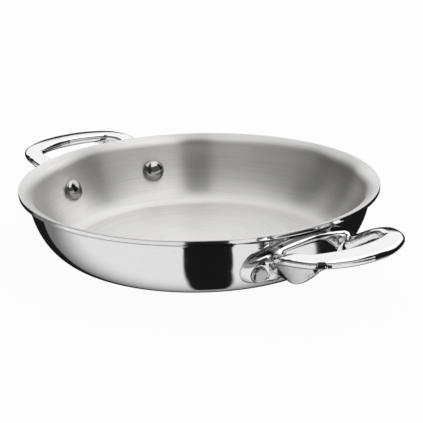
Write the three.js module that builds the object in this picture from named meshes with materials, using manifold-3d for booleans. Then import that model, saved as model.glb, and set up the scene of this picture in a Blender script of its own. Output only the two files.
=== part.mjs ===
// A round shallow serving pan of clad sheet with two cast loop handles, each held by two rivets.
// Millimetres, +Z up. The origin is the centre of the flat base, and the handles lie along X.
import * as THREE from "three";
import { mergeVertices } from "three/addons/utils/BufferGeometryUtils.js";
import Module from "manifold-3d";

const wasm = await Module();
wasm.setup();

// Pan: the outer face of the sheet rises from a flat base, steepens and flares into a pouring lip.
const BASE_RADIUS = 75.3;
const BASE_CURVE_RADIUS = 80;
const WALL_CURVE_RADIUS = 96.7;
const WALL_CURVE_HEIGHT = 8.8;
const WALL_TOP_RADIUS = 100.3;
const WALL_TOP_HEIGHT = 34;
const LIP_CURVE_RADIUS = 100.8;
const LIP_CURVE_HEIGHT = 37;
const RIM_RADIUS = 106;
const RIM_UNDERSIDE_HEIGHT = 37.9;

// Clad sheet: steel outside, aluminium core, steel inside, with a bond line between the layers.
const OUTER_SKIN_THICKNESS = 0.5;
const CORE_THICKNESS = 1.5;
const INNER_SKIN_THICKNESS = 0.5;
const BOND_LINE = 0.03;

// Rivets: a domed head inside the pan, a shank through the wall and a flattened tail on the handle.
const RIVET_ANGLE = THREE.MathUtils.degToRad(19.1);
const RIVET_WALL_FRACTION = 0.783;
const RIVET_HEAD_RADIUS = 6.8;
const RIVET_HEAD_HEIGHT = 3.3;
const RIVET_SHANK_RADIUS = 3.1;
const RIVET_TAIL_RADIUS = 4.4;
const RIVET_TAIL_HEIGHT = 1.7;
const RIVET_TAIL_EDGE = 0.5;
const RIVET_HEAD_STANDOFF = 0.8;
const RIVET_CLEARANCE = 0.3;

// Handle flange: an arched plate with a round lobe at each rivet, bent to the wall.
const FLANGE_THICKNESS = 4.2;
const FLANGE_LOBE_RADIUS = 9.8;
const FLANGE_LOBE_OFFSET = 30.3;
const FLANGE_LOBE_HEIGHT = 18.8;
const FLANGE_TOP_HEIGHT = 36;
const FLANGE_TOP_CURVE = 20;
const FLANGE_BOTTOM_HEIGHT = 13;
const FLANGE_SHOULDER = THREE.MathUtils.degToRad(60);
const FLANGE_REACH = 60;
const SEAT_GAP = 0.3;

// Handle grip: a flat bar that leaves the flange between the rivets, climbs and bows out level.
// Stations run along the middle of the bar, from a root in the flange to the middle of the loop.
const GRIP_STATIONS = [
  { at: [95.5, 22.8, 18.9], width: 9, thickness: 9 },
  { at: [102.8, 25.8, 23], width: 9.2, thickness: 8 },
  { at: [109, 29.4, 27], width: 10, thickness: 6.6 },
  { at: [116, 32.8, 31], width: 10.8, thickness: 5.6 },
  { at: [123, 33.8, 33.2], width: 11, thickness: 5.4 },
  { at: [129.3, 32.2, 33.9], width: 11.2, thickness: 5.5 },
  { at: [135.8, 28.1, 34.2], width: 12, thickness: 5.8 },
  { at: [141.1, 18.7, 34.3], width: 13.6, thickness: 6.1 },
  { at: [143.7, 9.5, 34.3], width: 14.6, thickness: 6.2 },
  { at: [144.6, 0, 34.3], width: 14.8, thickness: 6.2 },
];
const GRIP_BANK = THREE.MathUtils.degToRad(5);

// Under each arm a keel leans inwards. Its lower edge has one point below each of the first stations.
const KEEL_THICKNESS = 5.4;
const KEEL_EDGE = [
  [97, 24, 13.4],
  [104.5, 25, 16.4],
  [110.5, 25.4, 16.8],
  [116.5, 25.8, 16.4],
  [122, 25.8, 18.4],
  [127.5, 25.6, 21.9],
  [132.5, 25.6, 25.7],
  [138, 25.2, 30.3],
];

// Mesh fineness.
const PAN_SEGMENTS = 48;
const WALL_STEPS = 8;
const LIP_STEPS = 3;
const GRIP_STEPS = 40;
const KEEL_STEPS = 12;
const RIVET_SEGMENTS = 12;
const DOME_STEPS = 4;
const FLANGE_CURVE_STEPS = 7;
const WELD_DISTANCE = 1e-4;

const SHEET_THICKNESS =
  OUTER_SKIN_THICKNESS + CORE_THICKNESS + INNER_SKIN_THICKNESS;

const polishedSteel = new THREE.MeshStandardMaterial({
  color: 0xd4d4d6,
  roughness: 0.08,
  metalness: 1,
});
const satinSteel = new THREE.MeshStandardMaterial({
  color: 0xc4c3c1,
  roughness: 0.35,
  metalness: 1,
});
const aluminium = new THREE.MeshStandardMaterial({
  color: 0xb9bbbe,
  roughness: 0.5,
  metalness: 1,
});

// Turns a closed geometry into a solid that can be joined and cut.
function toSolid(geometry) {
  const bare = geometry.clone();
  bare.deleteAttribute("normal");
  bare.deleteAttribute("uv");
  const merged = mergeVertices(bare, WELD_DISTANCE);
  return new wasm.Manifold(
    new wasm.Mesh({
      numProp: 3,
      vertProperties: merged.attributes.position.array,
      triVerts: new Uint32Array(merged.index.array),
    }),
  );
}

// Turns a solid back into a geometry with flat faces.
function toGeometry(solid) {
  const mesh = solid.getMesh();
  const geometry = new THREE.BufferGeometry();
  geometry.setAttribute(
    "position",
    new THREE.BufferAttribute(mesh.vertProperties, mesh.numProp),
  );
  geometry.setIndex(new THREE.BufferAttribute(mesh.triVerts, 1));
  const faceted = geometry.toNonIndexed();
  faceted.computeVertexNormals();
  return faceted;
}

// A profile of (radius, height) points turned about Z.
function turned(profile, segments) {
  return new THREE.LatheGeometry(profile, segments).rotateX(Math.PI / 2);
}

const wallCurve = new THREE.CubicBezierCurve(
  new THREE.Vector2(BASE_RADIUS, 0),
  new THREE.Vector2(BASE_CURVE_RADIUS, 0),
  new THREE.Vector2(WALL_CURVE_RADIUS, WALL_CURVE_HEIGHT),
  new THREE.Vector2(WALL_TOP_RADIUS, WALL_TOP_HEIGHT),
);
const lipCurve = new THREE.QuadraticBezierCurve(
  new THREE.Vector2(WALL_TOP_RADIUS, WALL_TOP_HEIGHT),
  new THREE.Vector2(LIP_CURVE_RADIUS, LIP_CURVE_HEIGHT),
  new THREE.Vector2(RIM_RADIUS, RIM_UNDERSIDE_HEIGHT),
);

// The point of a curve at t, moved square to it into the pan by depth, or out of it if negative.
function sheetPoint(curve, t, depth) {
  const tangent = curve.getTangent(t);
  const inward = new THREE.Vector2(-tangent.y, tangent.x);
  return curve.getPoint(t).addScaledVector(inward, depth);
}

// The pan's section line at a depth in the sheet, from the axis to the rim.
function sheetLine(depth) {
  const line = [new THREE.Vector2(0, depth)];
  for (let i = 0; i <= WALL_STEPS; i++) {
    line.push(sheetPoint(wallCurve, i / WALL_STEPS, depth));
  }
  for (let i = 1; i <= LIP_STEPS; i++) {
    line.push(sheetPoint(lipCurve, i / LIP_STEPS, depth));
  }
  return line;
}

// The solid between two depths of the sheet.
function sheetLayer(fromDepth, toDepth) {
  const profile = [...sheetLine(fromDepth), ...sheetLine(toDepth).reverse()];
  return toSolid(turned(profile, PAN_SEGMENTS));
}

// All the room inside a depth of the sheet, closed across the rim.
function panFilled(depth) {
  const line = sheetLine(depth);
  const rim = line[line.length - 1];
  return toSolid(
    turned([...line, new THREE.Vector2(0, rim.y)], PAN_SEGMENTS),
  );
}

// All the room inside a depth of the wall, carried straight up past the lip to a height.
function wallFilled(depth, top) {
  const line = [new THREE.Vector2(0, depth)];
  for (let i = 0; i <= WALL_STEPS; i++) {
    line.push(sheetPoint(wallCurve, i / WALL_STEPS, depth));
  }
  const side = line[line.length - 1].x;
  line.push(new THREE.Vector2(side, top), new THREE.Vector2(0, top));
  return toSolid(turned(line, PAN_SEGMENTS));
}

// A rivet's own frame: its axis points out of the pan, square to the wall, from the outer face.
const rivetFoot = sheetPoint(wallCurve, RIVET_WALL_FRACTION, 0);
const rivetAxis = sheetPoint(wallCurve, RIVET_WALL_FRACTION, -1).sub(rivetFoot);

function rivetPlace(angle) {
  const radial = new THREE.Vector3(Math.cos(angle), Math.sin(angle), 0);
  const out = radial.clone().multiplyScalar(rivetAxis.x).setZ(rivetAxis.y);
  const turn = new THREE.Quaternion().setFromUnitVectors(
    new THREE.Vector3(0, 0, 1),
    out,
  );
  const foot = radial.multiplyScalar(rivetFoot.x).setZ(rivetFoot.y);
  return new THREE.Matrix4().compose(foot, turn, new THREE.Vector3(1, 1, 1));
}

function rivetGeometry() {
  const headBase = -SHEET_THICKNESS - RIVET_HEAD_STANDOFF;
  const tailBase = SEAT_GAP + FLANGE_THICKNESS + RIVET_CLEARANCE;
  const tailTop = tailBase + RIVET_TAIL_HEIGHT;
  const profile = [];
  for (let i = 0; i <= DOME_STEPS; i++) {
    const rise = ((i / DOME_STEPS) * Math.PI) / 2;
    profile.push(
      new THREE.Vector2(
        RIVET_HEAD_RADIUS * Math.sin(rise),
        headBase - RIVET_HEAD_HEIGHT * Math.cos(rise),
      ),
    );
  }
  profile[0].x = 0;
  profile.push(
    new THREE.Vector2(RIVET_SHANK_RADIUS, headBase),
    new THREE.Vector2(RIVET_SHANK_RADIUS, tailBase),
    new THREE.Vector2(RIVET_TAIL_RADIUS, tailBase),
    new THREE.Vector2(RIVET_TAIL_RADIUS, tailTop - RIVET_TAIL_EDGE),
    new THREE.Vector2(RIVET_TAIL_RADIUS - RIVET_TAIL_EDGE, tailTop),
    new THREE.Vector2(0, tailTop),
  );
  return turned(profile, RIVET_SEGMENTS);
}

// A straight drill along a rivet's axis, long enough for the wall and the flange.
function rivetDrill(angle) {
  const length = 2 * FLANGE_REACH;
  const drill = new THREE.CylinderGeometry(
    RIVET_SHANK_RADIUS + RIVET_CLEARANCE,
    RIVET_SHANK_RADIUS + RIVET_CLEARANCE,
    length,
    RIVET_SEGMENTS,
  ).rotateX(Math.PI / 2);
  return toSolid(drill.applyMatrix4(rivetPlace(angle)));
}

const handleRivetAngles = [-RIVET_ANGLE, RIVET_ANGLE];
const rivetAngles = [
  ...handleRivetAngles,
  ...handleRivetAngles.map((angle) => angle + Math.PI),
];

function drilledLayer(fromDepth, toDepth) {
  return rivetAngles.reduce(
    (layer, angle) => layer.subtract(rivetDrill(angle)),
    sheetLayer(fromDepth, toDepth),
  );
}

// The flange's outline seen from outside: y across, z up.
function flangeOutline() {
  const reach = FLANGE_LOBE_RADIUS;
  const offset = FLANGE_LOBE_OFFSET;
  const middle = FLANGE_LOBE_HEIGHT;
  const shoulder = FLANGE_SHOULDER;
  const shoulderY = offset + reach * Math.cos(shoulder);
  const shoulderZ = middle + reach * Math.sin(shoulder);
  const outline = new THREE.Shape();
  outline.absarc(offset, middle, reach, -Math.PI / 2, shoulder, false);
  outline.quadraticCurveTo(
    FLANGE_TOP_CURVE,
    FLANGE_TOP_HEIGHT,
    0,
    FLANGE_TOP_HEIGHT,
  );
  outline.quadraticCurveTo(
    -FLANGE_TOP_CURVE,
    FLANGE_TOP_HEIGHT,
    -shoulderY,
    shoulderZ,
  );
  outline.absarc(
    -offset,
    middle,
    reach,
    Math.PI - shoulder,
    (3 * Math.PI) / 2,
    false,
  );
  outline.bezierCurveTo(
    -offset / 2,
    middle - reach,
    -offset / 2,
    FLANGE_BOTTOM_HEIGHT,
    0,
    FLANGE_BOTTOM_HEIGHT,
  );
  outline.bezierCurveTo(
    offset / 2,
    FLANGE_BOTTOM_HEIGHT,
    offset / 2,
    middle - reach,
    offset,
    middle - reach,
  );
  return outline;
}

// The outline carried out along X and kept only where it lies against the wall.
function flangeSolid() {
  const block = new THREE.ExtrudeGeometry(flangeOutline(), {
    depth: FLANGE_REACH,
    bevelEnabled: false,
    curveSegments: FLANGE_CURVE_STEPS,
  });
  block.applyMatrix4(
    new THREE.Matrix4().makeBasis(
      new THREE.Vector3(0, 1, 0),
      new THREE.Vector3(0, 0, 1),
      new THREE.Vector3(1, 0, 0),
    ),
  );
  block.translate(FLANGE_REACH, 0, 0);
  return toSolid(block).intersect(
    wallFilled(-SEAT_GAP - FLANGE_THICKNESS, FLANGE_TOP_HEIGHT + SEAT_GAP),
  );
}

// Rings of points joined into one closed skin, with a flat cap on each end.
function loft(rings) {
  const count = rings[0].length;
  const faces = [];
  for (let r = 0; r + 1 < rings.length; r++) {
    for (let i = 0; i < count; i++) {
      const a = r * count + i;
      const b = r * count + ((i + 1) % count);
      faces.push(a, a + count, b, b, a + count, b + count);
    }
  }
  const last = (rings.length - 1) * count;
  for (let i = 1; i + 1 < count; i++) {
    faces.push(0, i, i + 1);
    faces.push(last, last + i + 1, last + i);
  }
  const geometry = new THREE.BufferGeometry().setFromPoints(rings.flat());
  geometry.setIndex(faces);
  return toSolid(geometry);
}

// A section as shares of its half width and half height, clockwise from the top.
const barSection = [
  [0, 1],
  [0.5, 0.95],
  [0.86, 0.7],
  [1, 0],
  [0.88, -0.7],
  [0.5, -0.96],
  [0, -1],
  [-0.5, -0.96],
  [-0.88, -0.7],
  [-1, 0],
  [-0.86, 0.7],
  [-0.5, 0.95],
];
const keelSection = [
  [-1, 1],
  [1, 1],
  [1, -0.7],
  [0.6, -0.95],
  [0, -1],
  [-0.6, -0.95],
  [-1, -0.7],
];

// A section's points in space, about a middle point.
function ring(section, middle, side, up) {
  return section.map(([across, rise]) =>
    middle.clone().addScaledVector(side, across).addScaledVector(up, rise),
  );
}

const nearStations = GRIP_STATIONS.map(({ at }) => new THREE.Vector3(...at));
const nearSizes = GRIP_STATIONS.map(
  ({ width, thickness }) => new THREE.Vector3(width, thickness, 0),
);

function mirrored(point) {
  return new THREE.Vector3(point.x, -point.y, point.z);
}

// The bar, carried from one root round the loop to the other and banked up towards the pan.
function gripSolid() {
  const farStations = nearStations.slice(0, -1).map(mirrored).reverse();
  const farSizes = nearSizes.slice(0, -1).reverse();
  const route = new THREE.CatmullRomCurve3([...nearStations, ...farStations]);
  const sizes = new THREE.CatmullRomCurve3([...nearSizes, ...farSizes]);
  const rings = [];
  for (let i = 0; i <= GRIP_STEPS; i++) {
    const t = i / GRIP_STEPS;
    const size = sizes.getPoint(t);
    const along = route.getTangent(t);
    const side = new THREE.Vector3(0, 0, 1).cross(along).normalize();
    side.applyAxisAngle(along, -GRIP_BANK);
    const up = along.clone().cross(side);
    rings.push(
      ring(
        barSection,
        route.getPoint(t),
        side.multiplyScalar(size.x / 2),
        up.multiplyScalar(size.y / 2),
      ),
    );
  }
  return loft(rings);
}

// One keel: a web between the middle of the bar and its own lower edge.
function keelSolid(place) {
  const roofPoints = nearStations.slice(0, KEEL_EDGE.length).map(place);
  const edgePoints = KEEL_EDGE.map((p) => place(new THREE.Vector3(...p)));
  const roof = new THREE.CatmullRomCurve3(roofPoints);
  const edge = new THREE.CatmullRomCurve3(edgePoints);
  const rings = [];
  for (let i = 0; i <= KEEL_STEPS; i++) {
    const t = i / KEEL_STEPS;
    const top = roof.getPoint(t);
    const bottom = edge.getPoint(t);
    const up = top.clone().sub(bottom).divideScalar(2);
    const side = up.clone().cross(roof.getTangent(t)).normalize();
    rings.push(
      ring(
        keelSection,
        top.add(bottom).divideScalar(2),
        side.multiplyScalar(KEEL_THICKNESS / 2),
        up,
      ),
    );
  }
  return loft(rings);
}

// One casting: flange and grip together, hollowed to the wall and drilled for its rivets.
function handleGeometry() {
  const casting = flangeSolid()
    .add(gripSolid())
    .add(keelSolid((point) => point))
    .add(keelSolid(mirrored))
    .subtract(panFilled(-SEAT_GAP));
  const drilled = handleRivetAngles.reduce(
    (solid, angle) => solid.subtract(rivetDrill(angle)),
    casting,
  );
  return toGeometry(drilled);
}

const pan = new THREE.Group();

function addPiece(name, geometry, material, place) {
  const mesh = new THREE.Mesh(geometry, material);
  mesh.name = name;
  if (place) {
    place.decompose(mesh.position, mesh.quaternion, mesh.scale);
  }
  pan.add(mesh);
}

const coreStart = OUTER_SKIN_THICKNESS + BOND_LINE;
const coreEnd = OUTER_SKIN_THICKNESS + CORE_THICKNESS - BOND_LINE;
const innerStart = SHEET_THICKNESS - INNER_SKIN_THICKNESS;
addPiece(
  "outer_skin",
  toGeometry(drilledLayer(0, OUTER_SKIN_THICKNESS)),
  polishedSteel,
);
addPiece("core_layer", toGeometry(drilledLayer(coreStart, coreEnd)), aluminium);
addPiece(
  "inner_skin",
  toGeometry(drilledLayer(innerStart, SHEET_THICKNESS)),
  satinSteel,
);

const handle = handleGeometry();
const halfTurn = new THREE.Matrix4().makeRotationZ(Math.PI);
addPiece("right_handle", handle, polishedSteel);
addPiece("left_handle", handle, polishedSteel, halfTurn);

const rivet = rivetGeometry();
const rivetNames = [
  "right_front_rivet",
  "right_rear_rivet",
  "left_rear_rivet",
  "left_front_rivet",
];
rivetNames.forEach((name, i) => {
  addPiece(name, rivet, polishedSteel, rivetPlace(rivetAngles[i]));
});

export default pan;
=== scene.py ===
# Round serving pan: polished outside, brushed inside, two cast loop handles on rivets.
import math

import bpy
import numpy as np
from mathutils import Matrix, Vector


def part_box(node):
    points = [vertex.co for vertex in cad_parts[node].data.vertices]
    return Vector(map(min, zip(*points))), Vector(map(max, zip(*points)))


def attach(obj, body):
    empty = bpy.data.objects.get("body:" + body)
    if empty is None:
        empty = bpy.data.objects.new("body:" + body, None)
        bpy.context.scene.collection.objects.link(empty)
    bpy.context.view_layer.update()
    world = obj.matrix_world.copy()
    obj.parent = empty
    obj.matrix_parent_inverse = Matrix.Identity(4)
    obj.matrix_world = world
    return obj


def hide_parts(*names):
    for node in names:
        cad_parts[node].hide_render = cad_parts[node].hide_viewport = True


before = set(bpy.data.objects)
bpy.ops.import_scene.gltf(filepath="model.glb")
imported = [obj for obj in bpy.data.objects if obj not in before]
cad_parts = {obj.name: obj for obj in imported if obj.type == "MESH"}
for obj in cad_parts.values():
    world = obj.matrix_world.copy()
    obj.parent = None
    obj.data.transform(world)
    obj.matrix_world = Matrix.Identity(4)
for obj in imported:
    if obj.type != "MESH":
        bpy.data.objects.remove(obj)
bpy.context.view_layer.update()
mm = 0.001  # the pieces are worked out in millimetres
print("frame loaded with", len(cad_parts), "nodes")


# Camera

photoView = {
    "azimuth": 52.8,  # degrees round the pan, 0 looks along +Y
    "elevation": 18.384,
    "roll": -1.2376,
    "distance": 1.04415,  # from the aim, metres
    "aimHeight": 0.01966,
    "lens": 150.25,
    "sensor": 36.0,
    "shiftX": 0.0276,
    "shiftY": 0.0091,
    "clip": (0.05, 50.0),  # near and far, metres
}


def makeCamera(view):
    # back runs from the aim to the camera, and roll turns the picture about it
    azimuth, elevation, roll = (math.radians(view[k]) for k in ("azimuth", "elevation", "roll"))
    flat = math.cos(elevation)
    back = Vector((math.sin(azimuth) * flat, -math.cos(azimuth) * flat, math.sin(elevation)))
    level = Vector((math.cos(azimuth), math.sin(azimuth), 0))
    right = math.cos(roll) * level + math.sin(roll) * back.cross(level)
    up = back.cross(right)
    data = bpy.data.cameras.new("photoCamera")
    data.sensor_width = view["sensor"]
    data.lens = view["lens"]
    data.shift_x = view["shiftX"]
    data.shift_y = view["shiftY"]
    data.clip_start, data.clip_end = view["clip"]
    camera = bpy.data.objects.new("photoCamera", data)
    place = Vector((0, 0, view["aimHeight"])) + back * view["distance"]
    camera.matrix_world = Matrix.Translation(place) @ Matrix((right, up, back)).transposed().to_4x4()
    bpy.context.scene.collection.objects.link(camera)
    bpy.context.scene.camera = camera


makeCamera(photoView)
print("camera placed")


# Node helpers

nodeStep = (190, -170)  # from one place in a node tree to the next


def newNode(tree, kind, place, **values):
    node = tree.nodes.new(kind)
    node.location = (place[0] * nodeStep[0], place[1] * nodeStep[1])
    for name, value in values.items():
        if hasattr(node, name):
            setattr(node, name, value)
        else:
            node.inputs[name].default_value = value
    return node


# A value is another node's socket or a plain number or colour
def feed(tree, socket, value):
    if isinstance(value, bpy.types.NodeSocket):
        tree.links.new(value, socket)
    else:
        socket.default_value = value


def mathNode(tree, operation, place, *values):
    node = newNode(tree, "ShaderNodeMath", place, operation=operation)
    for socket, value in zip(node.inputs, values):
        feed(tree, socket, value)
    return node.outputs[0]


def colourMix(tree, place, share, first, second, blend="MIX"):
    node = newNode(tree, "ShaderNodeMix", place, data_type="RGBA", blend_type=blend)
    for index, value in ((0, share), (6, first), (7, second)):
        feed(tree, node.inputs[index], value)
    return node.outputs[2]


# A smooth step from outLow to outHigh while the value goes from low to high
def rampNode(tree, place, value, low, high, outLow=0.0, outHigh=1.0):
    node = newNode(tree, "ShaderNodeMapRange", place, interpolation_type="SMOOTHSTEP")
    tree.links.new(value, node.inputs["Value"])
    for socket, number in zip(node.inputs[1:5], (low, high, outLow, outHigh)):
        socket.default_value = number
    return node.outputs["Result"]


def newGroup(name, inputs, outputs):
    group = bpy.data.node_groups.new(name, "ShaderNodeTree")
    for label, value in inputs.items():
        socket = group.interface.new_socket(label, in_out="INPUT", socket_type="NodeSocketFloat")
        socket.default_value = value
    for label in outputs:
        group.interface.new_socket(label, in_out="OUTPUT", socket_type="NodeSocketFloat")
    start = newNode(group, "NodeGroupInput", (-6, 0))
    end = newNode(group, "NodeGroupOutput", (6, 0))
    return group, start, end


lineLook = {
    "fineness": 2600.0,
    "length": 3.0,
    "leastRadius": 0.0005,  # the lines stop short of the axis
    "fine": {"Scale": 1.0, "Detail": 3.0, "Roughness": 0.65},
    "broad": {"Scale": 1.0, "Detail": 2.0},
    "drawnOut": {"Streak": (0.5, 0.5, 0.4), "Band": (0.5, 0.5, 0.05)},  # the broad ones, against the fine
    "span": (0.3, 0.7),  # the part of the noise that is spread over 0 to 1
}


# Lines that run round the pan's axis: noise read at (cos a, sin a, radius + height), so it has no seam
def makeTurnedLines(look):
    inputs = {"Fineness": look["fineness"], "Length": look["length"]}
    group, start, end = newGroup("turnedLines", inputs, ["Line", *look["drawnOut"]])
    links = group.links
    coords = newNode(group, "ShaderNodeTexCoord", (-5, 0))
    parts = newNode(group, "ShaderNodeSeparateXYZ", (-4, 0))
    links.new(coords.outputs["Object"], parts.inputs[0])
    x, y, z = parts.outputs
    squares = mathNode(group, "ADD", (-3, 0), mathNode(group, "POWER", (-3, 1), x, 2.0),
                       mathNode(group, "POWER", (-3, 2), y, 2.0))
    root = mathNode(group, "SQRT", (-2, 0), squares)
    radius = mathNode(group, "MAXIMUM", (-2, 1), root, look["leastRadius"])
    along = mathNode(group, "ADD", (-1, 0), radius, z)
    joined = newNode(group, "ShaderNodeCombineXYZ", (1, 0))
    for socket, part in zip(joined.inputs, (x, y)):
        turn = mathNode(group, "DIVIDE", (-1, 2), part, radius)
        links.new(mathNode(group, "MULTIPLY", (0, 2), turn, start.outputs["Length"]), socket)
    links.new(mathNode(group, "MULTIPLY", (0, 0), along, start.outputs["Fineness"]), joined.inputs[2])
    fine = newNode(group, "ShaderNodeTexNoise", (2, 0), **look["fine"])
    links.new(joined.outputs[0], fine.inputs["Vector"])
    links.new(rampNode(group, (4, 0), fine.outputs["Fac"], *look["span"]), end.inputs["Line"])
    for row, (name, size) in enumerate(look["drawnOut"].items(), 2):
        drawn = newNode(group, "ShaderNodeVectorMath", (2, row), operation="MULTIPLY")
        drawn.inputs[1].default_value = size
        links.new(joined.outputs[0], drawn.inputs[0])
        broad = newNode(group, "ShaderNodeTexNoise", (3, row), **look["broad"])
        links.new(drawn.outputs[0], broad.inputs["Vector"])
        links.new(rampNode(group, (4, row), broad.outputs["Fac"], *look["span"]), end.inputs[name])
    return group


markLook = {
    "cloudSize": 26.0,
    "cloud": {"Detail": 4.0, "Roughness": 0.55, "Distortion": 0.6},
    "cloudSpan": (0.38, 0.72),
    "scratchSize": 420.0,
    "scratchWay": {"Rotation": (0.4, 0.3, 0.7), "Scale": (1.0, 0.05, 0.4)},
    "scratchDetail": 1.0,
    "scratchSpan": (0.68, 0.74),
}


# Handling marks: cloudy smudges and sparse hairline scratches on Object coordinates
def makeHandlingMarks(look):
    inputs = {"Cloud Size": look["cloudSize"], "Scratch Size": look["scratchSize"]}
    group, start, end = newGroup("handlingMarks", inputs, ["Cloud", "Scratch"])
    links = group.links
    coords = newNode(group, "ShaderNodeTexCoord", (-4, 0))
    cloud = newNode(group, "ShaderNodeTexNoise", (-2, 0), **look["cloud"])
    links.new(coords.outputs["Object"], cloud.inputs["Vector"])
    links.new(start.outputs["Cloud Size"], cloud.inputs["Scale"])
    links.new(rampNode(group, (0, 0), cloud.outputs["Fac"], *look["cloudSpan"]), end.inputs["Cloud"])
    stretch = newNode(group, "ShaderNodeMapping", (-3, 2), **look["scratchWay"])
    links.new(coords.outputs["Object"], stretch.inputs["Vector"])
    hair = newNode(group, "ShaderNodeTexNoise", (-2, 2), Detail=look["scratchDetail"])
    links.new(stretch.outputs[0], hair.inputs["Vector"])
    links.new(start.outputs["Scratch Size"], hair.inputs["Scale"])
    links.new(rampNode(group, (0, 2), hair.outputs["Fac"], *look["scratchSpan"]), end.inputs["Scratch"])
    return group


turnedLines = makeTurnedLines(lineLook)
handlingMarks = makeHandlingMarks(markLook)


# Bare metal; where it is brushed, highlights are drawn out across the turned lines
def metalShader(tree, place, look, base, rough, normal):
    shader = newNode(tree, "ShaderNodeBsdfPrincipled", place, Metallic=1.0)
    for name, value in (("Base Color", base), ("Roughness", rough), ("Normal", normal)):
        tree.links.new(value, shader.inputs[name])
    if "anisotropy" in look:
        shader.inputs["Anisotropic"].default_value = look["anisotropy"]
        shader.inputs["Anisotropic Rotation"].default_value = look["rotation"]
        beside = (place[0] - 1, place[1] + 2)
        tangent = newNode(tree, "ShaderNodeTangent", beside, direction_type="RADIAL", axis="Z")
        tree.links.new(tangent.outputs[0], shader.inputs["Tangent"])
    return shader.outputs[0]


# Painted shade under the rolled lip: the outer face's colour is darkened in a band by height, where the
# shadow under the lip falls
def paintedLipShade(tree, base, lip):
    place = newNode(tree, "ShaderNodeTexCoord", (-3, -4))
    parts = newNode(tree, "ShaderNodeSeparateXYZ", (-2, -4))
    tree.links.new(place.outputs["Object"], parts.inputs[0])
    rising = rampNode(tree, (-1, -4), parts.outputs[2], *lip["from"], 0, lip["shade"])
    falling = rampNode(tree, (-1, -5), parts.outputs[2], *lip["to"], 1, 0)
    share = mathNode(tree, "MULTIPLY", (0, -4), rising, falling)
    return colourMix(tree, (2, -4), share, base, (*lip["colour"], 1))


# The flat floor is ground more evenly than the wall, and paler
def pairWithFloor(tree, wall, look, base, rough, normal):
    floor = look["floor"]
    paler = [f / c for f, c in zip(floor["colour"], look["colour"])]
    base = colourMix(tree, (2, 6), 1.0, base, (*paler, 1), "MULTIPLY")
    rough = mathNode(tree, "ADD", (2, 7), rough, floor["rough"])
    flat = metalShader(tree, (4, 4), {**look, "anisotropy": floor["anisotropy"]}, base, rough, normal)
    place = newNode(tree, "ShaderNodeTexCoord", (1, 8))
    radius = newNode(tree, "ShaderNodeVectorMath", (2, 8), operation="LENGTH")
    tree.links.new(place.outputs["Object"], radius.inputs[0])
    share = rampNode(tree, (3, 8), radius.outputs["Value"], *floor["radii"], 1, 0)
    both = newNode(tree, "ShaderNodeMixShader", (5, 2))
    for socket, value in zip(both.inputs, (share, wall, flat)):
        tree.links.new(value, socket)
    return both.outputs[0]


def steelMaterial(name, look):
    material = bpy.data.materials.new(name)
    material.use_nodes = True
    tree = material.node_tree
    tree.nodes.clear()
    marks = newNode(tree, "ShaderNodeGroup", (-4, 0), node_tree=handlingMarks, **look["marks"])
    if "lines" in look:
        lines = newNode(tree, "ShaderNodeGroup", (-4, 2), node_tree=turnedLines, **look["lines"])
        line, streak, band = (lines.outputs[part] for part in ("Line", "Streak", "Band"))
    else:
        coords = newNode(tree, "ShaderNodeTexCoord", (-5, 3))
        wave = newNode(tree, "ShaderNodeTexNoise", (-4, 3), Scale=look["waveSize"], Detail=1.0)
        tree.links.new(coords.outputs["Object"], wave.inputs["Vector"])
        line = streak = band = wave.outputs["Fac"]
    # colour: the base, a little darker in the troughs of the grain (the mean of line and streak), in smudges
    # and in scratches
    grain = mathNode(tree, "MULTIPLY", (-3, 1), mathNode(tree, "ADD", (-3, 2), line, streak), 0.5)
    clean = mathNode(tree, "MULTIPLY_ADD", (-2, 1), grain, look["lineShade"], 1 - look["lineShade"] / 2)
    smudged = mathNode(tree, "MULTIPLY", (-2, 0), marks.outputs["Cloud"], look["smudge"])
    scratched = mathNode(tree, "MULTIPLY", (-2, -1), marks.outputs["Scratch"], look["scratch"])
    wear = mathNode(tree, "ADD", (-1, 0), smudged, scratched)
    share = mathNode(tree, "SUBTRACT", (-1, 1), clean, wear)
    base = colourMix(tree, (0, 0), share, (*look["dark"], 1), (*look["colour"], 1))
    # painted shade under the lip, mixed into the outer face's colour by height
    if "lip" in look:
        base = paintedLipShade(tree, base, look["lip"])
    # roughness: the base, rougher where the lines and the marks are
    least = look["rough"] - look["bandRough"] / 2
    lined = mathNode(tree, "MULTIPLY_ADD", (0, 2), band, look["bandRough"], least)
    rough = mathNode(tree, "MULTIPLY_ADD", (1, 2), wear, look["wearRough"], lined)
    bump = newNode(tree, "ShaderNodeBump", (2, 3), Strength=look["bump"], Distance=look["bumpDepth"])
    tree.links.new(grain, bump.inputs["Height"])
    finish = (look, base, rough, bump.outputs[0])
    surface = metalShader(tree, (4, 0), *finish)
    if "floor" in look:
        surface = pairWithFloor(tree, surface, *finish)
    out = newNode(tree, "ShaderNodeOutputMaterial", (6, 0))
    tree.links.new(surface, out.inputs["Surface"])
    return material
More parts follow.
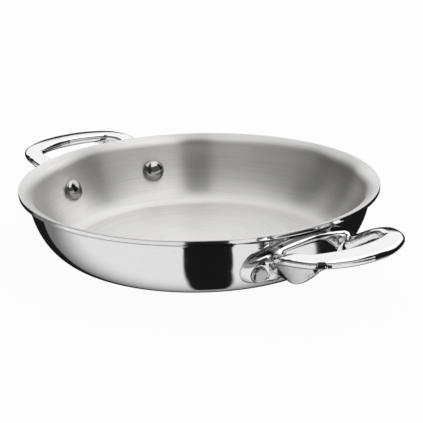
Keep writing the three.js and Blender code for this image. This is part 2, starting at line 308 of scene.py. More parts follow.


# Lengths here are in metres: the heights where the painted shade band under the lip comes in and goes out,
# and the radii over which the floor gives way to the wall
steelLooks = {
    "polishedSteel": {
        "colour": (0.84, 0.84, 0.845), "dark": (0.62, 0.62, 0.63), "rough": 0.045, "bandRough": 0.03,
        "wearRough": 0.10, "lineShade": 0.10, "smudge": 0.06, "scratch": 0.10,
        "bump": 0.02, "bumpDepth": 0.00002,
        # lip: painted shade, a dark band of colour under the rolled lip, by height
        "lip": {"from": (0.0353, 0.0363), "to": (0.0375, 0.0378), "shade": 0.85, "colour": (0.1, 0.1, 0.1)},
        "lines": {"Fineness": 3200.0, "Length": 2.0}, "marks": {"Cloud Size": 20.0, "Scratch Size": 380.0},
    },
    "satinSteel": {
        "colour": (0.83, 0.823, 0.81), "dark": (0.57, 0.563, 0.55), "rough": 0.36, "bandRough": 0.04,
        "wearRough": 0.05, "lineShade": 0.55, "smudge": 0.10, "scratch": 0.06,
        "bump": 0.07, "bumpDepth": 0.00004, "anisotropy": 1.0, "rotation": 0.25,
        "floor": {"radii": (0.079, 0.088), "colour": (0.91, 0.905, 0.895), "rough": 0.2, "anisotropy": 0.1},
        "lines": {"Fineness": 2600.0, "Length": 2.4}, "marks": {"Cloud Size": 16.0, "Scratch Size": 300.0},
    },
    "coreAluminium": {
        "colour": (0.86, 0.862, 0.865), "dark": (0.70, 0.70, 0.71), "rough": 0.08, "bandRough": 0.04,
        "wearRough": 0.10, "lineShade": 0.10, "smudge": 0.06, "scratch": 0.08,
        "bump": 0.02, "bumpDepth": 0.00001,
        "lines": {"Fineness": 5200.0, "Length": 2.0}, "marks": {"Cloud Size": 30.0, "Scratch Size": 500.0},
    },
    "castSteel": {
        "colour": (0.87, 0.87, 0.875), "dark": (0.66, 0.66, 0.67), "rough": 0.08, "bandRough": 0.03,
        "wearRough": 0.10, "lineShade": 0.06, "smudge": 0.05, "scratch": 0.10,
        "bump": 0.03, "bumpDepth": 0.0002, "waveSize": 45.0,
        "marks": {"Cloud Size": 34.0, "Scratch Size": 520.0},
    },
    "rivetSteel": {
        "colour": (0.48, 0.472, 0.46), "dark": (0.32, 0.314, 0.306), "rough": 0.09, "bandRough": 0.04,
        "wearRough": 0.12, "lineShade": 0.10, "smudge": 0.10, "scratch": 0.14,
        "bump": 0.10, "bumpDepth": 0.0001, "waveSize": 260.0,
        "marks": {"Cloud Size": 90.0, "Scratch Size": 700.0},
    },
}
steels = {name: steelMaterial(name, look) for name, look in steelLooks.items()}
print("materials made:", ", ".join(steels))


# Mesh helpers

sharpAngle = math.radians(36)  # a bend past this is an edge, not a curve


def unit(rows):
    return rows / np.linalg.norm(rows, axis=-1, keepdims=True)


def signedVolume(points, triangles):
    a, b, c = (points[triangles[:, i]] for i in range(3))
    return np.einsum("ij,ij->i", a, np.cross(b, c)).sum() / 6


def addPiece(name, points, faces, node, material, normals=None):
    mesh = bpy.data.meshes.new(name)
    mesh.from_pydata((points * mm).tolist(), [], [row for block in faces for row in block.tolist()])
    mesh.materials.append(material)
    mesh.polygons.foreach_set("use_smooth", np.ones(len(mesh.polygons), bool))
    if normals is None:
        mesh.set_sharp_from_angle(angle=sharpAngle)
    else:
        mesh.normals_split_custom_set_from_vertices(normals.tolist())
    mesh.update()
    piece = bpy.data.objects.new(name, mesh)
    bpy.context.scene.collection.objects.link(piece)
    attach(piece, "root")
    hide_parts(node)
    print("piece", name, len(mesh.polygons), "faces")


# A profile of (radius, height) that starts and ends on the axis, swept about Z: x = r cos a, y = r sin a
def turnedSurface(profile, around):
    angle = np.arange(around) * 2 * math.pi / around
    ring = profile[1:-1]
    x = ring[:, :1] * np.cos(angle)
    y = ring[:, :1] * np.sin(angle)
    z = np.repeat(ring[:, 1:], around, axis=1)
    poles = np.array([[0, 0, profile[0, 1]], [0, 0, profile[-1, 1]]])
    points = np.concatenate([np.stack([x, y, z], -1).reshape(-1, 3), poles])
    number = np.arange(len(ring) * around).reshape(len(ring), around)
    after = np.roll(number, -1, axis=1)
    quads = np.stack([number[:-1], after[:-1], after[1:], number[1:]], -1).reshape(-1, 4)
    first = np.stack([np.full(around, len(points) - 2), after[0], number[0]], -1)
    last = np.stack([np.full(around, len(points) - 1), number[-1], after[-1]], -1)
    fans = np.concatenate([first, last])
    halves = np.concatenate([quads[:, [0, 1, 2]], quads[:, [0, 2, 3]], fans])
    if signedVolume(points, halves) < 0:
        quads, fans = quads[:, ::-1], fans[:, ::-1]
    return points, [quads, fans]


# Points on a Bezier curve of any degree, by repeated linear mixing
def bezier(corners, count):
    t = np.linspace(0, 1, count)[:, None]
    level = [np.asarray(c, float) for c in corners]
    while len(level) > 1:
        level = [(1 - t) * a + t * b for a, b in zip(level[:-1], level[1:])]
    return level[0]


# Pan

panShape = {
    "wall": [(75.3, 0), (80, 0), (96.7, 8.8), (100.3, 34)],  # outer face: radius, height
    "lip": [(100.3, 34), (100.8, 37), (106, 37.9)],
    "sheet": 2.5,
    "outerSkin": 0.5,
    "innerSkin": 0.5,
    "bond": 0.03,
    "edgeRound": 0.3,  # radius on the rim's two edges
    "edgeSteps": 6,
    "coreRecess": 0.02,  # the softer core wears back at the rim
    "edgeUpright": 0.62,  # 0 leaves the rim's edge square to the sheet, 1 grinds it upright
    "around": 384,
    "wallSteps": 64,
    "lipSteps": 22,
    "floorSteps": 26,
}


# The outer face as points and the unit directions into the sheet, square to the face
def sheetFace(shape):
    wall = bezier(shape["wall"], shape["wallSteps"])
    lip = bezier(shape["lip"], shape["lipSteps"])
    line = np.concatenate([wall, lip[1:]])
    slope = np.gradient(line, axis=0)
    slope[0] = (1, 0)
    slope = unit(slope)
    return line, np.stack([-slope[:, 1], slope[:, 0]], -1)


faceLine, faceInward = sheetFace(panShape)


# The section line at a depth in the sheet: flat floor from the axis, then the face moved inwards by depth
def sheetLine(depth, shape):
    curve = faceLine + depth * faceInward
    floor = np.stack([np.linspace(0, curve[0, 0], shape["floorSteps"])[:-1],
                      np.full(shape["floorSteps"] - 1, curve[0, 1])], -1)
    return np.concatenate([floor, curve])


# One clad layer: out along one depth, across the rim edge with rounded corners, back along the other depth
def layerProfile(fromDepth, toDepth, shape, roundFrom=0.0, roundTo=0.0, recess=0.0):
    lower = sheetLine(fromDepth, shape)
    upper = sheetLine(toDepth, shape)
    inward = faceInward[-1]
    outward = np.array([inward[1], -inward[0]])
    for end, depth in ((lower, fromDepth), (upper, toDepth)):
        end[-1] += outward * (shape["edgeUpright"] * depth * -inward[0] / outward[0] - recess)
    turn = np.linspace(0, math.pi / 2, shape["edgeSteps"])[:, None]
    edge = []
    for end, radius, way in ((lower[-1], roundFrom, 1), (upper[-1], roundTo, -1)):
        if not radius:
            edge.append(end[None])
            continue
        middle = end - outward * radius + inward * radius * way
        arc = middle + radius * (np.sin(turn) * outward - np.cos(turn) * inward * way)
        edge.append(arc if way > 0 else arc[::-1])
    return np.concatenate([lower[:-1], *edge, upper[:-1][::-1]])


def makePan(shape):
    sheet, bond = shape["sheet"], shape["bond"]
    coreFrom = shape["outerSkin"] + bond
    coreTo = sheet - shape["innerSkin"] - bond
    layers = [
        ("polishedOutside", "polished_steel", "outer_skin", "polishedSteel",
         (0, shape["outerSkin"]), {"roundFrom": shape["edgeRound"]}),
        ("aluminiumCore", "core_aluminium", "core_layer", "coreAluminium",
         (coreFrom, coreTo), {"recess": shape["coreRecess"]}),
        ("satinInside", "satin_steel", "inner_skin", "satinSteel",
         (sheet - shape["innerSkin"], sheet), {"roundTo": shape["edgeRound"]}),
    ]
    for name, slot, node, steel, depths, edge in layers:
        points, faces = turnedSurface(layerProfile(*depths, shape, **edge), shape["around"])
        addPiece(name, points, faces, node, steels[steel])


makePan(panShape)
print("pan made")


# Rivets

rivetShape = {
    "angle": 19.1,  # degrees from the handle's middle, round the pan
    "wallShare": 0.783,  # how far up the wall curve
    "headRadius": 6.8,
    "headHeight": 3.3,
    "headLift": 0.8,  # from the inner face to the head's widest ring
    "headSink": 0.5,  # the skirt runs this far into the sheet
    "headFullness": 0.94,  # below 1 the head is fuller than an ellipse
    "headSteps": 20,
    "shankRadius": 3.1,
    "tailLift": 5.8,  # from the outer face
    "tailRadius": 4.4,
    "tailHeight": 1.6,
    "tailSink": 0.4,  # its rim reaches this far below the lift
    "tailChamfer": (0.15, 0.2),  # across and along, at that rim
    "tailRound": 0.7,
    "tailDome": 0.35,
    "tailSkip": 3,  # its edge takes every third step of the head's turn
    "domeSteps": 10,
    "around": 72,
}


# Profile along the rivet's axis, from the crown of the head to the tail: an ellipse, a skirt, the shank and
# a rounded disc
def rivetProfile(shape):
    foot = -panShape["sheet"]
    turn = np.linspace(0, math.pi / 2, shape["headSteps"])
    head = np.stack([shape["headRadius"] * np.sin(turn) ** shape["headFullness"],
                     foot - shape["headLift"] - shape["headHeight"] * np.cos(turn)], -1)
    skirt = foot + shape["headSink"]
    under = shape["tailLift"] - shape["tailSink"]
    chamferAcross, chamferAlong = shape["tailChamfer"]
    shank = np.array([[shape["headRadius"], skirt],
                      [shape["shankRadius"], skirt],
                      [shape["shankRadius"], under],
                      [shape["tailRadius"] - chamferAcross, under],
                      [shape["tailRadius"], under + chamferAlong]])
    top = shape["tailLift"] + shape["tailHeight"]
    middle = shape["tailRadius"] - shape["tailRound"]
    bend = turn[::shape["tailSkip"]]
    corner = np.stack([middle + shape["tailRound"] * np.cos(bend),
                       top - shape["tailRound"] + shape["tailRound"] * np.sin(bend)], -1)
    reach = np.linspace(1, 0, shape["domeSteps"])[1:]
    dome = np.stack([middle * reach, top + shape["tailDome"] * (1 - reach ** 2)], -1)
    return np.concatenate([head, shank, corner, dome])


# Where a rivet's axis leaves the wall's outer face, that axis, and the level direction across it, from the
# weights of a cubic Bezier curve and of its slope
def rivetSeat(shape, degrees):
    corners = np.array(panShape["wall"], float)
    t = shape["wallShare"]
    weights = np.array([(1 - t) ** 3, 3 * t * (1 - t) ** 2, 3 * t * t * (1 - t), t ** 3])
    slopes = np.array([(1 - t) ** 2, 2 * t * (1 - t), t * t]) @ np.diff(corners, axis=0)
    out = np.array([slopes[1], -slopes[0]]) / np.linalg.norm(slopes)
    turn = math.radians(degrees)
    radial = np.array([math.cos(turn), math.sin(turn), 0])
    upright = np.array([0, 0, 1])
    foot = weights @ corners
    place = radial * foot[0] + upright * foot[1]
    axis = radial * out[0] + upright * out[1]
    return place, axis, np.cross(upright, radial)


def makeRivets(shape):
    points, faces = turnedSurface(rivetProfile(shape), shape["around"])
    turns = {"right_front_rivet": -shape["angle"], "right_rear_rivet": shape["angle"],
             "left_rear_rivet": 180 - shape["angle"], "left_front_rivet": 180 + shape["angle"]}
    for node, degrees in turns.items():
        foot, axis, around = rivetSeat(shape, degrees)
        placed = foot + points @ np.stack([around, np.cross(axis, around), axis])
        side, end, _ = node.split("_")
        name = side + end.capitalize() + "Rivet"
        addPiece(name, placed, faces, node, steels["rivetSteel"])


makeRivets(rivetShape)
print("rivets made")


# Handles

handleShape = {
    # bar stations: x, y, z of its middle, width, thickness; from the root in the flange to the loop's middle
    "bar": [
        (95.5, 22.8, 18.9, 9, 9), (102.8, 25.8, 23, 9.2, 8), (109, 29.4, 27, 10, 6.6),
        (116, 32.8, 31, 10.8, 5.6), (123, 33.8, 33.2, 11, 5.4), (129.3, 32.2, 33.9, 11.2, 5.5),
        (135.8, 28.1, 34.2, 12, 5.8), (141.1, 18.7, 34.3, 13.6, 6.1), (143.7, 9.5, 34.3, 14.6, 6.2),
        (144.5, 0, 34.3, 14.8, 6.2),
    ],
    "bank": 5.0,  # degrees, outer edge down
    "barRound": (0.6, 1.15),  # corner radii above and below, as shares of the half thickness
    "barRidge": 0.3,  # where the one changes to the other
    "barFlare": 0.09,  # the sides lean in towards the top, a slope
    "barCrown": 0.12,
    "barBulge": 0.6,  # the sides bulge by this much
    "barCap": 1.5,  # both grow with a squared share, up to this
    # keel: the lower edge under each of the first stations, and half its thickness at the top there
    "keel": [
        (97, 24, 15.8, 3.4), (104.5, 25, 19, 3.4), (110.5, 25.4, 19.4, 3.4), (116.5, 25.8, 18.9, 3.4),
        (122, 25.8, 20.8, 3.2), (127.5, 25.6, 24, 2.8), (132.5, 25.6, 27.5, 2.4), (138, 25.2, 31.7, 1.6),
    ],
    "keelDrop": 1.8,  # its top starts this far below the bar's middle
    "keelTaper": 0.15,  # how much of the thickness is lost at the lower edge
    "plateThickness": 6.0,
    "plateGap": 0.3,
    "backEase": 1.0,  # the plate's edge against the wall is blunt, not a feather
    "bevelAcross": 2.4,  # sloped shoulder all round the plate's outer face
    "bevelDepth": 4.2,
    "bevelBends": (2.2, 1.2),  # at the face and at the outline
    "seatRadius": 6.5,  # round flat cut for the rivet's tail
    "seatHeight": 5.4,
    "seatEdge": 0.35,
    "lobeRadius": 9.8,  # round end of the plate
    "lobeAcross": 30.3,
    "lobeHeight": 18.8,
    "lobeShoulder": 60.0,  # degrees up from level, where the arch meets the lobe
    "archTop": 36.0,
    "archTurn": 20.0,  # half width where the top curve turns down
    "archBottom": 13.0,
    "barBlend": 1.0,  # between bar and keel
    "rootBlend": 4.5,  # between arms and plate
    "cell": 0.6,  # grid step of the surface
    "margin": 1.5,
    "samples": 120,  # along the bar and the keel
    "wallSamples": 500,
    "lipSamples": 120,
    "outlineSamples": 50,  # along the plate's top, and along its lower edge
    "lobeSamples": 40,
}


# A centripetal Catmull-Rom curve: each span is a cubic whose end slopes come from root-distance steps
def splineThrough(stations, count):
    stops = np.array(stations, float)
    ends = np.concatenate([[2 * stops[0] - stops[1]], stops, [2 * stops[-1] - stops[-2]]])
    steps = np.sqrt(np.linalg.norm(np.diff(ends[:, :3], axis=0), axis=1))[:, None]
    rate = np.diff(ends, axis=0) / steps
    double = (ends[2:] - ends[:-2]) / (steps[:-1] + steps[1:])
    slope = rate[:-1] - double + rate[1:]
    t = np.linspace(0, len(stops) - 1, count)
    span = np.minimum(t.astype(int), len(stops) - 2)
    u = (t - span)[:, None]
    width = steps[1:-1][span]
    start, end = stops[span], stops[span + 1]
    out, into = slope[span] * width, slope[span + 1] * width
    return ((2 * u ** 3 - 3 * u ** 2 + 1) * start + (u ** 3 - 2 * u ** 2 + u) * out
            + (3 * u ** 2 - 2 * u ** 3) * end + (u ** 3 - u ** 2) * into)


# A section line with the unit directions out of the pan at its points
def outwardLine(line):
    rise = unit(np.gradient(line, axis=0))
    return line, np.stack([rise[:, 1], -rise[:, 0]], -1)


# Smooth union: the lesser of two distances, eased by a parabola where they differ by less than reach
def easedUnion(a, b, reach):
    near = np.maximum(reach - np.abs(a - b), 0) / reach
    return np.minimum(a, b) - near * near * reach / 4


# Smooth intersection, eased the same way
def easedMeet(a, b, reach):
    return -easedUnion(-a, -b, reach)


# Intersection with its outside corner rounded to a radius
def roundedMeet(a, b, radius):
    a, b = a + radius, b + radius
    return np.hypot(np.maximum(a, 0), np.maximum(b, 0)) + np.minimum(np.maximum(a, b), 0) - radius


# Squared gaps from points to samples, by the expanded square
def squaredGaps(points, samples):
    return (points ** 2).sum(1)[:, None] - 2 * points @ samples.T + (samples ** 2).sum(1)


# The segment nearest each point: its number, the share along it and the gap
def nearestSegment(points, starts, steps):
    along = points @ steps.T - (starts * steps).sum(1)
    length = (steps ** 2).sum(1)
    share = np.clip(along / length, 0, 1)
    gap = squaredGaps(points, starts) + share * (share * length - 2 * along)
    near = gap.argmin(1)
    row = np.arange(len(points))
    return near, share[row, near], np.sqrt(np.maximum(gap[row, near], 0))


class HandleForm:
    def __init__(self, shape):
        self.shape = shape
        line = splineThrough(shape["bar"], shape["samples"])
        self.middle = line[:, :3]
        self.half = line[:, 3:] / 2
        along = unit(np.gradient(self.middle, axis=0))
        along[-1] = (0, -1, 0)
        level = unit(np.cross((0, 0, 1.0), along))
        bank = math.radians(-shape["bank"])
        self.side = level * math.cos(bank) + np.cross(along, level) * math.sin(bank)
        self.up = np.cross(along, self.side)
        self.along = along
        self.spacing = np.linalg.norm(np.gradient(self.middle, axis=0), axis=1)
        count = len(shape["keel"])
        self.roof = splineThrough([b[:3] for b in shape["bar"][:count]], shape["samples"])
        self.roof[:, 2] -= shape["keelDrop"]
        keel = splineThrough(shape["keel"], shape["samples"])
        self.rib = keel[:, :3] - self.roof
        self.keelHalf = keel[:, 3]
        self.roofStep = np.gradient(self.roof, axis=0)
        self.edgeStep = np.gradient(self.roof + self.rib, axis=0)
        self.wall, self.wallOut = outwardLine(bezier(panShape["wall"], shape["wallSamples"]))
        self.lip, self.lipOut = outwardLine(bezier(panShape["lip"], shape["lipSamples"]))
        self.rivetFoot, self.rivetAxis, _ = rivetSeat(rivetShape, rivetShape["angle"])
        self.plateOutline(shape)

    # The plate's outline for y above 0: arch top, shoulder, round lobe, lower edge
    def plateOutline(self, shape):
        radius, across, height = shape["lobeRadius"], shape["lobeAcross"], shape["lobeHeight"]
        count = shape["outlineSamples"]
        shoulder = math.radians(shape["lobeShoulder"])
        start = (across + radius * math.cos(shoulder), height + radius * math.sin(shoulder))
        top = bezier([(0, shape["archTop"]), (shape["archTurn"], shape["archTop"]), start], count)
        angle = np.linspace(shoulder, -math.pi / 2, shape["lobeSamples"])[1:, None]
        lobe = np.array([across, height]) + radius * np.concatenate([np.cos(angle), np.sin(angle)], 1)
        low = bezier([(across, height - radius), (across / 2, height - radius),
                      (across / 2, shape["archBottom"]), (0, shape["archBottom"])], count)[1:]
        self.outline = np.concatenate([top, lobe, low])
        self.lobeSpan = (len(top) - 1, len(top) + len(lobe) - 1)

    # Distance to the bar: nearest station, slid along it, then a rounded crowned box across it
    def barDistance(self, p):
        shape = self.shape
        near = squaredGaps(p, self.middle).argmin(1)
        slide = ((p - self.middle[near]) * self.along[near]).sum(1) / self.spacing[near]
        place = np.clip(near + np.clip(slide, -1, 1), 0, len(self.middle) - 1)
        low = np.minimum(place.astype(int), len(self.middle) - 2)
        share = (place - low)[:, None]

        def between(rows):
            return rows[low] * (1 - share) + rows[low + 1] * share

        offset = p - between(self.middle)
        across, height, beyond = ((offset * unit(between(rows))).sum(1)
                                  for rows in (self.side, self.up, self.along))
        halfWidth, halfHeight = between(self.half).T
        upper = height > shape["barRidge"] * halfHeight
        crown = 1 + shape["barCrown"] * np.minimum((across / halfWidth) ** 2, shape["barCap"])
        rise = np.where(upper, height, -height) * crown
        radius = np.where(upper, *shape["barRound"]) * halfHeight
        bulge = shape["barBulge"] * np.minimum((height / halfHeight) ** 2, shape["barCap"])
        lean = shape["barFlare"] * height + bulge
        flat = roundedMeet(np.abs(across) + lean - halfWidth, rise - halfHeight, radius)
        capped = np.hypot(np.maximum(flat, 0), np.abs(beyond)) + np.minimum(flat, 0)
        return np.where(place <= 0, capped, flat)

    # Distance to the keel: nearest rib between roof and lower edge, measured square to the ruled sheet
    def keelDistance(self, p):
        near, share, _ = nearestSegment(p, self.roof, self.rib)
        share = share[:, None]
        away = p - self.roof[near] - share * self.rib[near]
        step = self.roofStep[near] * (1 - share) + self.edgeStep[near] * share
        slide = np.clip((away * step).sum(1) / (step ** 2).sum(1), -1, 1)
        past = (near == 0) & (slide < 0) | (near == len(self.rib) - 1) & (slide > 0)
        away = away - np.where(past, 0, slide)[:, None] * step
        half = self.keelHalf[near] * (1 - self.shape["keelTaper"] * share[:, 0] ** 2)
        return np.linalg.norm(away, axis=1) - half

    # Distances from the outer faces of the wall and of the lip, positive outside the pan
    def wallDistance(self, p):
        q = np.stack([np.hypot(p[:, 0], p[:, 1]), p[:, 2]], -1)
        found = []
        for line, out in ((self.wall, self.wallOut), (self.lip, self.lipOut)):
            near = squaredGaps(q, line).argmin(1)
            found.append(((q - line[near]) * out[near]).sum(1))
        return found

    # Distance to the outline in y and z: a circle at the lobe, nearest edge elsewhere, and inside or not by
    # counting crossings
    def outlineDistance(self, p):
        shape = self.shape
        q = p[:, 1:]
        start, end = self.outline[:-1], self.outline[1:]
        step = end - start
        near, _, gap = nearestSegment(q, start, step)
        above = q[:, 1:] < start[:, 1]
        rising = above != (q[:, 1:] < end[:, 1])
        tilt = step[:, 0] / np.where(step[:, 1] == 0, 1, step[:, 1])
        crossing = start[:, 0] + (q[:, 1:] - start[:, 1]) * tilt
        inside = (rising & (crossing > q[:, :1])).sum(1) % 2 == 1
        circle = np.hypot(q[:, 0] - shape["lobeAcross"], q[:, 1] - shape["lobeHeight"]) - shape["lobeRadius"]
        onLobe = (near >= self.lobeSpan[0]) & (near < self.lobeSpan[1])
        return np.where(onLobe, circle, np.where(inside, -gap, gap))

    # Distance to the plate from its outer face and its outline, with a sloped shoulder between the two
    def plateDistance(self, face, outline):
        across, depth = self.shape["bevelAcross"], self.shape["bevelDepth"]
        inner, outer = self.shape["bevelBends"]
        slope = (face * across + outline * depth + across * depth) / math.hypot(across, depth)
        return easedMeet(easedMeet(face, slope, inner), outline, outer)

    # Distance to the round cut for the rivet's tail, negative where metal is taken away
    def seatDistance(self, p):
        offset = p - self.rivetFoot
        height = offset @ self.rivetAxis
        reach = np.linalg.norm(offset - height[:, None] * self.rivetAxis, axis=1)
        return np.maximum(reach - self.shape["seatRadius"], self.shape["seatHeight"] - height)

    # The whole casting: bar and keel eased together, plate eased on, cut back from the wall
    def distance(self, points, chunk=4000):
        shape = self.shape
        found = np.empty(len(points))
        for start in range(0, len(points), chunk):
            p = points[start:start + chunk].copy()
            p[:, 1] = np.abs(p[:, 1])
            wall, lip = self.wallDistance(p)
            face = wall - shape["plateGap"] - shape["plateThickness"]
            plate = self.plateDistance(face, self.outlineDistance(p))
            arms = easedUnion(self.barDistance(p), self.keelDistance(p), shape["barBlend"])
            whole = easedUnion(arms, plate, shape["rootBlend"])
            whole = easedMeet(whole, -self.seatDistance(p), shape["seatEdge"])
            clear = np.where(p[:, 2] > panShape["lip"][0][1], np.minimum(wall, lip), wall)
            whole = easedMeet(whole, shape["plateGap"] - clear, shape["backEase"])
            found[start:start + chunk] = whole
        return found

    # Slope of the distance, from the four corners of a small tetrahedron
    def slope(self, points, step=0.03):
        corners = np.array([(1, -1, -1), (-1, -1, 1), (-1, 1, -1), (1, 1, 1)])
        return sum(self.distance(points + step * c)[:, None] * c for c in corners) / (4 * step)


# The field on a grid: worked out on every few points first, then finely where the surface can be
def fieldOnGrid(form, grid, cell, stride=4, reach=1.3):
    coarse = grid[::stride, ::stride, ::stride]
    rough = form.distance(coarse.reshape(-1, 3)).reshape(coarse.shape[:3])
    nearest = [np.minimum((np.arange(fine) + stride // 2) // stride, few - 1)
               for fine, few in zip(grid.shape, rough.shape)]
    value = rough[np.ix_(*nearest)]
    close = np.abs(value) < reach * stride * cell
    value[close] = form.distance(grid[close])
    return value


# A grid square whose corners lie in and out by turns would pinch the surface, so the corner nearest to the
# surface changes sides
def clearPinches(value, rounds=4):
    steps = np.array([(0, 0, 0), (1, 0, 0), (1, 1, 0), (0, 1, 0)])
    for axes in ((0, 1), (0, 2), (1, 2)) * rounds:
        turned = np.moveaxis(value, axes, (0, 1))
        corners = np.stack([turned[:-1, :-1], turned[1:, :-1], turned[1:, 1:], turned[:-1, 1:]])
        inside = corners < 0
        pinched = (inside[0] == inside[2]) & (inside[1] == inside[3]) & (inside[0] != inside[1])
        least = np.abs(corners[:, pinched]).argmin(0)
        place = np.argwhere(pinched) + steps[least]
        turned[tuple(place.T)] *= -1


# Surface of a distance field on a grid: one point per cell that the surface crosses, one quad per crossed
# grid edge, then each point is slid down the field's slope onto the surface
def fieldSurface(form, low, high, cell, slides=3, leastSlope=0.2):
    counts = np.ceil((high - low) / cell).astype(int) + 1
    axes = [low[i] + cell * np.arange(counts[i]) for i in range(3)]
    grid = np.stack(np.meshgrid(*axes, indexing="ij"), -1)
    value = fieldOnGrid(form, grid, cell)
    clearPinches(value)
    inside = value < 0
    corner = [inside[i:counts[0] - 1 + i, j:counts[1] - 1 + j, k:counts[2] - 1 + k]
              for i in (0, 1) for j in (0, 1) for k in (0, 1)]
    filled = np.sum(corner, axis=0)
    crossed = (filled > 0) & (filled < 8)
    number = np.full(crossed.shape, -1)
    number[crossed] = np.arange(crossed.sum())
    points = low + cell * (np.argwhere(crossed) + 0.5)
    quads = []
    for axis in range(3):
        order = (axis, (axis + 1) % 3, (axis + 2) % 3)
        start = np.transpose(inside, order)
        cells = np.transpose(number, order)
        change = start[:-1, 1:-1, 1:-1] != start[1:, 1:-1, 1:-1]
        i, j, k = (np.argwhere(change) + (0, 1, 1)).T
        rows = np.stack([cells[i, j - 1, k - 1], cells[i, j, k - 1],
                         cells[i, j, k], cells[i, j - 1, k]], -1)
        quads.append(np.where(start[i, j, k][:, None], rows, rows[:, ::-1]))
    for _ in range(slides):
        slope = form.slope(points)
        move = form.distance(points) / np.maximum((slope ** 2).sum(1), leastSlope)
        points = points - move[:, None] * slope
    return points, np.concatenate(quads), unit(form.slope(points))


def makeHandles(shape):
    low, high = (np.array(corner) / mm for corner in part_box("right_handle"))
    form = HandleForm(shape)
    points, quads, normals = fieldSurface(form, low - shape["margin"], high + shape["margin"], shape["cell"])
    for name, node, turn in (("rightHandle", "right_handle", 1), ("leftHandle", "left_handle", -1)):
        halfTurn = np.array([turn, turn, 1])
        addPiece(name, points * halfTurn, [quads], node, steels["castSteel"],
                 normals * halfTurn)


makeHandles(handleShape)
print("handles made")


# Stage

stageLook = {
    "floorSize": 8.0,
    "floorDrop": 0.00005,  # it lies this far under the pan
    "floorColour": (0.9, 0.9, 0.9),
    "cameraWhite": 0.95,  # how much of the floor is plain white to the camera, the rest keeps the shadow
    "darkLevel": 0.01,  # of the room between the panels
}


def makeFloor(look):
    material = bpy.data.materials.new("paleFloor")
    material.use_nodes = True
    tree = material.node_tree
    tree.nodes.clear()
    path = newNode(tree, "ShaderNodeLightPath", (-4, 0)).outputs
    seen = mathNode(tree, "MAXIMUM", (-2, 0), path["Is Camera Ray"], path["Is Transmission Ray"])
    share = mathNode(tree, "MULTIPLY", (-1, 0), seen, look["cameraWhite"])
    matte = newNode(tree, "ShaderNodeBsdfDiffuse", (0, 1), Color=(*look["floorColour"], 1))
    white = newNode(tree, "ShaderNodeEmission", (0, 2), Color=(1, 1, 1, 1), Strength=1.0)
    mixed = newNode(tree, "ShaderNodeMixShader", (2, 0))
    for socket, value in zip(mixed.inputs, (share, matte.outputs[0], white.outputs[0])):
        tree.links.new(value, socket)
    out = newNode(tree, "ShaderNodeOutputMaterial", (4, 0))
    tree.links.new(mixed.outputs[0], out.inputs["Surface"])
    half = look["floorSize"] / 2
    mesh = bpy.data.meshes.new("paleFloor")
    corners = [(-half, -half), (half, -half), (half, half), (-half, half)]
    mesh.from_pydata([(x, y, -look["floorDrop"]) for x, y in corners], [], [(0, 1, 2, 3)])
    mesh.materials.append(material)
    card = bpy.data.objects.new("paleFloor", mesh)
    bpy.context.scene.collection.objects.link(card)
    card.visible_glossy = False  # the steel mirrors the world's lower light instead


# World: white to the camera; to the steel, pale panels in a dark room. Degrees, across from the camera's side
# (right is positive) and up from the horizon
worldPanels = {
    "left": {"across": (-95, -10), "up": (-8, 18), "level": 0.34},
    "leftMiddle": {"across": (-95, -10), "up": (18, 54), "level": 0.08},
    "leftTop": {"across": (-90, -14), "up": (52, 76), "level": 1.2},
    "right": {"across": (12, 74), "up": (-8, 18), "level": 0.7},
    "rightMiddle": {"across": (14, 74), "up": (18, 50), "level": 0.12},
    "rightTop": {"across": (18, 72), "up": (44, 76), "level": 1.6},
    "middle": {"across": (-10, 14), "up": (-8, 56), "level": 0.04},
    "leftEnd": {"across": (-128, -113), "up": (-8, 42), "level": 0.08},
    "leftRear": {"across": (-150, -90), "up": (50, 78), "level": 1.1},
    "rightSide": {"across": (104, 112), "up": (18, 52), "level": 1.15},
    "rightRear": {"across": (74, 112), "up": (48, 78), "level": 1.6},
    "rightBack": {"across": (110, 150), "up": (10, 78), "level": 1.25},
    "leftBack": {"across": (-150, -122), "up": (31, 62), "level": 1.0},
    "back": {"across": (138, 218), "up": (9, 62), "level": 1.02},
    "ceiling": {"across": (77, 270), "up": (58, 122), "level": 1.05},
    "zenith": {"across": (-190, 190), "up": (76, 104), "level": 1.0},
}
panelSoftness = 2.0

# Below the horizon: a pale sheet with a dark slot towards the camera. Places on it are how far a ray goes
# towards the camera (ahead) and to the right (aside) for each unit that it drops. An edge is where it lies
# aside at ahead 0, and its slope
lowerLook = {
    "slotLeft": [(-0.088, -0.148), (-0.086, -0.1)],  # the slot's sides are bent, so each has two edges
    "slotRight": [(0.172, 0.275), (0.203, 0.172)],
    "slotEnd": (-0.75, -0.6),
    "backEdge": -1.12,  # the sheet ends here, further back towards the sides
    "backCorner": 0.75,
    "backSlope": 0.5,
    "sideEdge": [(1.7, 0.5), (1.2, 1.4)],  # and at this bent edge on the right
    "sideLeast": 0.85,
    "fade": (-1.15, 0.1),  # it is darker towards the back
    "levels": (0.2, 0.88),
    "horizon": (-12, -6),
    "leastDrop": 0.05,
    "slotSoftness": 0.015,
    "sheetSoftness": 0.06,
}


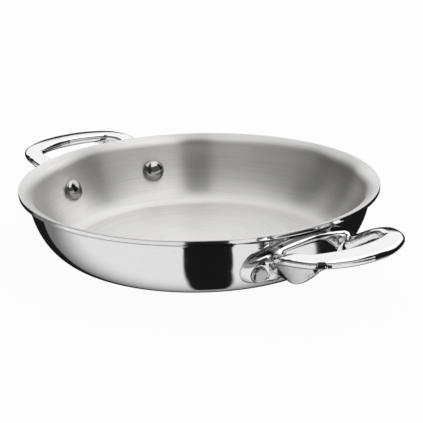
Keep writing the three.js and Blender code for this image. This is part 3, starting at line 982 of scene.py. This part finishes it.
def lowerLight(tree, toward, rightward, height, up, look):
    down = mathNode(tree, "MULTIPLY", (-5, 30), height, -1.0)
    drop = mathNode(tree, "MAXIMUM", (-4, 30), down, look["leastDrop"])
    ahead = mathNode(tree, "DIVIDE", (-3, 30), toward, drop)
    aside = mathNode(tree, "DIVIDE", (-3, 31), rightward, drop)

    # the lesser or the greater of two edges
    def bentEdge(choice, edges, row):
        sides = [mathNode(tree, "MULTIPLY_ADD", (-2, row), ahead, slope, offset) for offset, slope in edges]
        return mathNode(tree, choice, (-1, row), *sides)

    # 1 where the first value is the greater
    def beyond(first, second, row, softness):
        lead = mathNode(tree, "SUBTRACT", (-1, row), first, second)
        return rampNode(tree, (0, row), lead, -softness, softness)

    slotSoft, sheetSoft = look["slotSoftness"], look["sheetSoftness"]
    slot = rampNode(tree, (0, 34), ahead, *look["slotEnd"])
    for side in (beyond(aside, bentEdge("MINIMUM", look["slotLeft"], 32), 32, slotSoft),
                 beyond(bentEdge("MAXIMUM", look["slotRight"], 33), aside, 33, slotSoft)):
        slot = mathNode(tree, "MULTIPLY", (1, 32), slot, side)
    apart = mathNode(tree, "ABSOLUTE", (-4, 35), aside)
    pastCorner = mathNode(tree, "SUBTRACT", (-3, 35), apart, look["backCorner"])
    sideways = mathNode(tree, "MAXIMUM", (-2, 35), pastCorner, 0.0)
    backEdge = mathNode(tree, "MULTIPLY_ADD", (-1, 35), sideways, -look["backSlope"], look["backEdge"])
    sideEdge = bentEdge("MINIMUM", look["sideEdge"], 38)
    sideEdge = mathNode(tree, "MAXIMUM", (-1, 37), sideEdge, look["sideLeast"])
    level = rampNode(tree, (0, 39), ahead, *look["fade"], *look["levels"])
    for share in (mathNode(tree, "SUBTRACT", (2, 33), 1.0, slot),
                  beyond(ahead, backEdge, 36, sheetSoft),
                  beyond(sideEdge, aside, 37, sheetSoft),
                  rampNode(tree, (0, 40), up, *look["horizon"], 1, 0)):
        level = mathNode(tree, "MULTIPLY", (3, 39), level, share)
    return level


# 1 within a span of degrees, 0 outside, with soft ends; the angle is taken round to within half a turn
def withinSpan(tree, angle, low, high, row):
    offset = mathNode(tree, "SUBTRACT", (-3, row), angle, (low + high) / 2)
    apart = mathNode(tree, "ABSOLUTE", (-1, row), mathNode(tree, "WRAP", (-2, row), offset, 180.0, -180.0))
    half = (high - low) / 2
    return rampNode(tree, (0, row), apart, half - panelSoftness, half + panelSoftness, 1, 0)


def makeWorld(look, panels, lower):
    world = bpy.data.worlds.new("studio")
    bpy.context.scene.world = world
    world.use_nodes = True
    tree = world.node_tree
    tree.nodes.clear()
    coords = newNode(tree, "ShaderNodeTexCoord", (-8, 0))
    turn = math.radians(90 - photoView["azimuth"])
    turned = newNode(tree, "ShaderNodeMapping", (-7, 0), Rotation=(0, 0, turn))
    tree.links.new(coords.outputs["Generated"], turned.inputs["Vector"])
    parts = newNode(tree, "ShaderNodeSeparateXYZ", (-6, 0))
    tree.links.new(turned.outputs[0], parts.inputs[0])
    toward, rightward, height = parts.outputs
    across = mathNode(tree, "DEGREES", (-4, 0), mathNode(tree, "ARCTAN2", (-5, 0), rightward, toward))
    up = mathNode(tree, "DEGREES", (-4, 1), mathNode(tree, "ARCSINE", (-5, 1), height))
    below = lowerLight(tree, toward, rightward, height, up, lower)
    light = mathNode(tree, "MAXIMUM", (4, 30), below, look["darkLevel"])
    for row, panel in enumerate(panels.values()):
        wide = withinSpan(tree, across, *panel["across"], 2 * row)
        high = withinSpan(tree, up, *panel["up"], 2 * row + 1)
        shown = mathNode(tree, "MULTIPLY", (1, 2 * row), wide, high)
        lit = mathNode(tree, "MULTIPLY", (2, 2 * row), shown, panel["level"])
        light = mathNode(tree, "MAXIMUM", (3, 2 * row), lit, light)
    path = newNode(tree, "ShaderNodeLightPath", (3, -2))
    level = newNode(tree, "ShaderNodeMix", (4, 0), data_type="FLOAT")
    for index, value in ((0, path.outputs["Is Camera Ray"]), (2, light), (3, 1.0)):
        feed(tree, level.inputs[index], value)
    back = newNode(tree, "ShaderNodeBackground", (5, 0), Color=(1, 1, 1, 1))
    tree.links.new(level.outputs[0], back.inputs["Strength"])
    out = newNode(tree, "ShaderNodeOutputWorld", (6, 0))
    tree.links.new(back.outputs[0], out.inputs["Surface"])


makeFloor(stageLook)
makeWorld(stageLook, worldPanels, lowerLook)
bpy.context.scene.view_settings.view_transform = "Standard"
print("stage lit")
